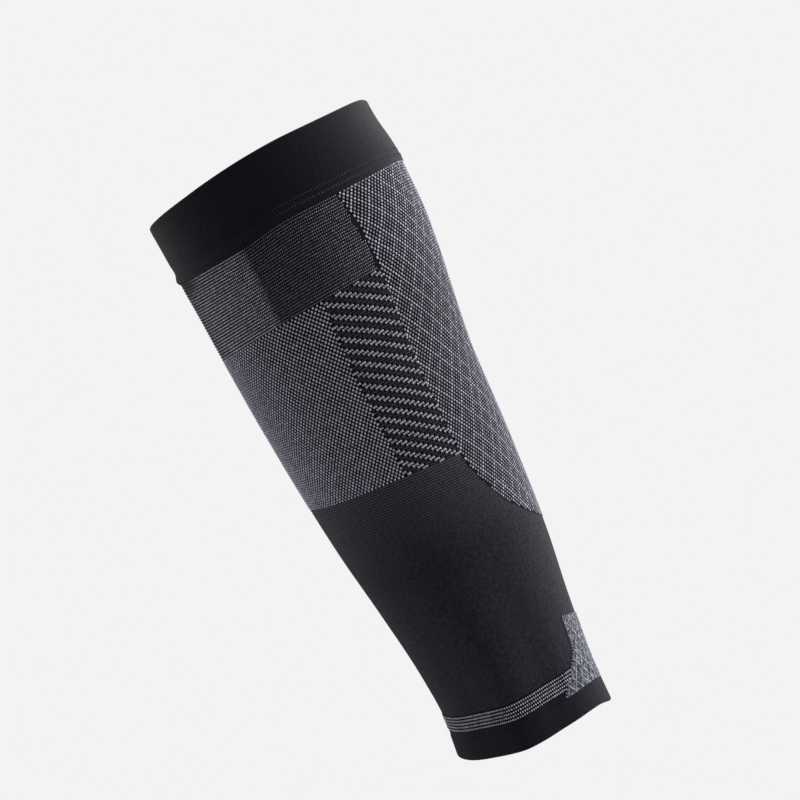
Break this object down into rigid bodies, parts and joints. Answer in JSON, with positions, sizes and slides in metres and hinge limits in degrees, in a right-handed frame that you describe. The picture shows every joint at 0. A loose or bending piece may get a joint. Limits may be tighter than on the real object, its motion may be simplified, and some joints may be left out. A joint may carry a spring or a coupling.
{
  "type": "calf compression sleeve",
  "caption": "Footless knitted compression sleeve for one calf, with double cuffs, a ribbed upper band, patterned shin, side and calf zones, and an Achilles patch.",
  "frame": {"origin": "on the leg's axis, level with the middle of the calf, where a leg holds the sleeve", "axes": "+Z along the leg towards the knee, -Y towards the shin, +Y towards the calf, +X to one side"},
  "size_m": [0.116, 0.1288, 0.3205],
  "materials": {
    "cuff_knit": "smooth black double knit with a soft sheen",
    "ribbed_knit": "black knit with fine horizontal grey ribs",
    "birdseye_knit": "black and grey bird's-eye knit",
    "stripe_knit": "black knit with grey diagonal stripes in short dashes",
    "lattice_knit": "black and light grey bird's-eye knit with a lattice of lighter lines",
    "plain_knit": "plain black knit with a fine rib at its top",
    "lined_knit": "black knit with pale dotted lines",
    "heather_knit": "grey heather knit with crossing raised lines"
  },
  "bodies": {
    "root": {"top_cuff": "cuff_knit", "upper_shin_panel": "ribbed_knit", "shin_panel": "birdseye_knit", "side_panel_outer": "stripe_knit", "side_panel_inner": "stripe_knit", "calf_panel": "lattice_knit", "lower_leg_panel": "plain_knit", "ankle_band": "lined_knit", "achilles_patch": "heather_knit", "bottom_cuff": "cuff_knit"}
  },
  "joints": []
}
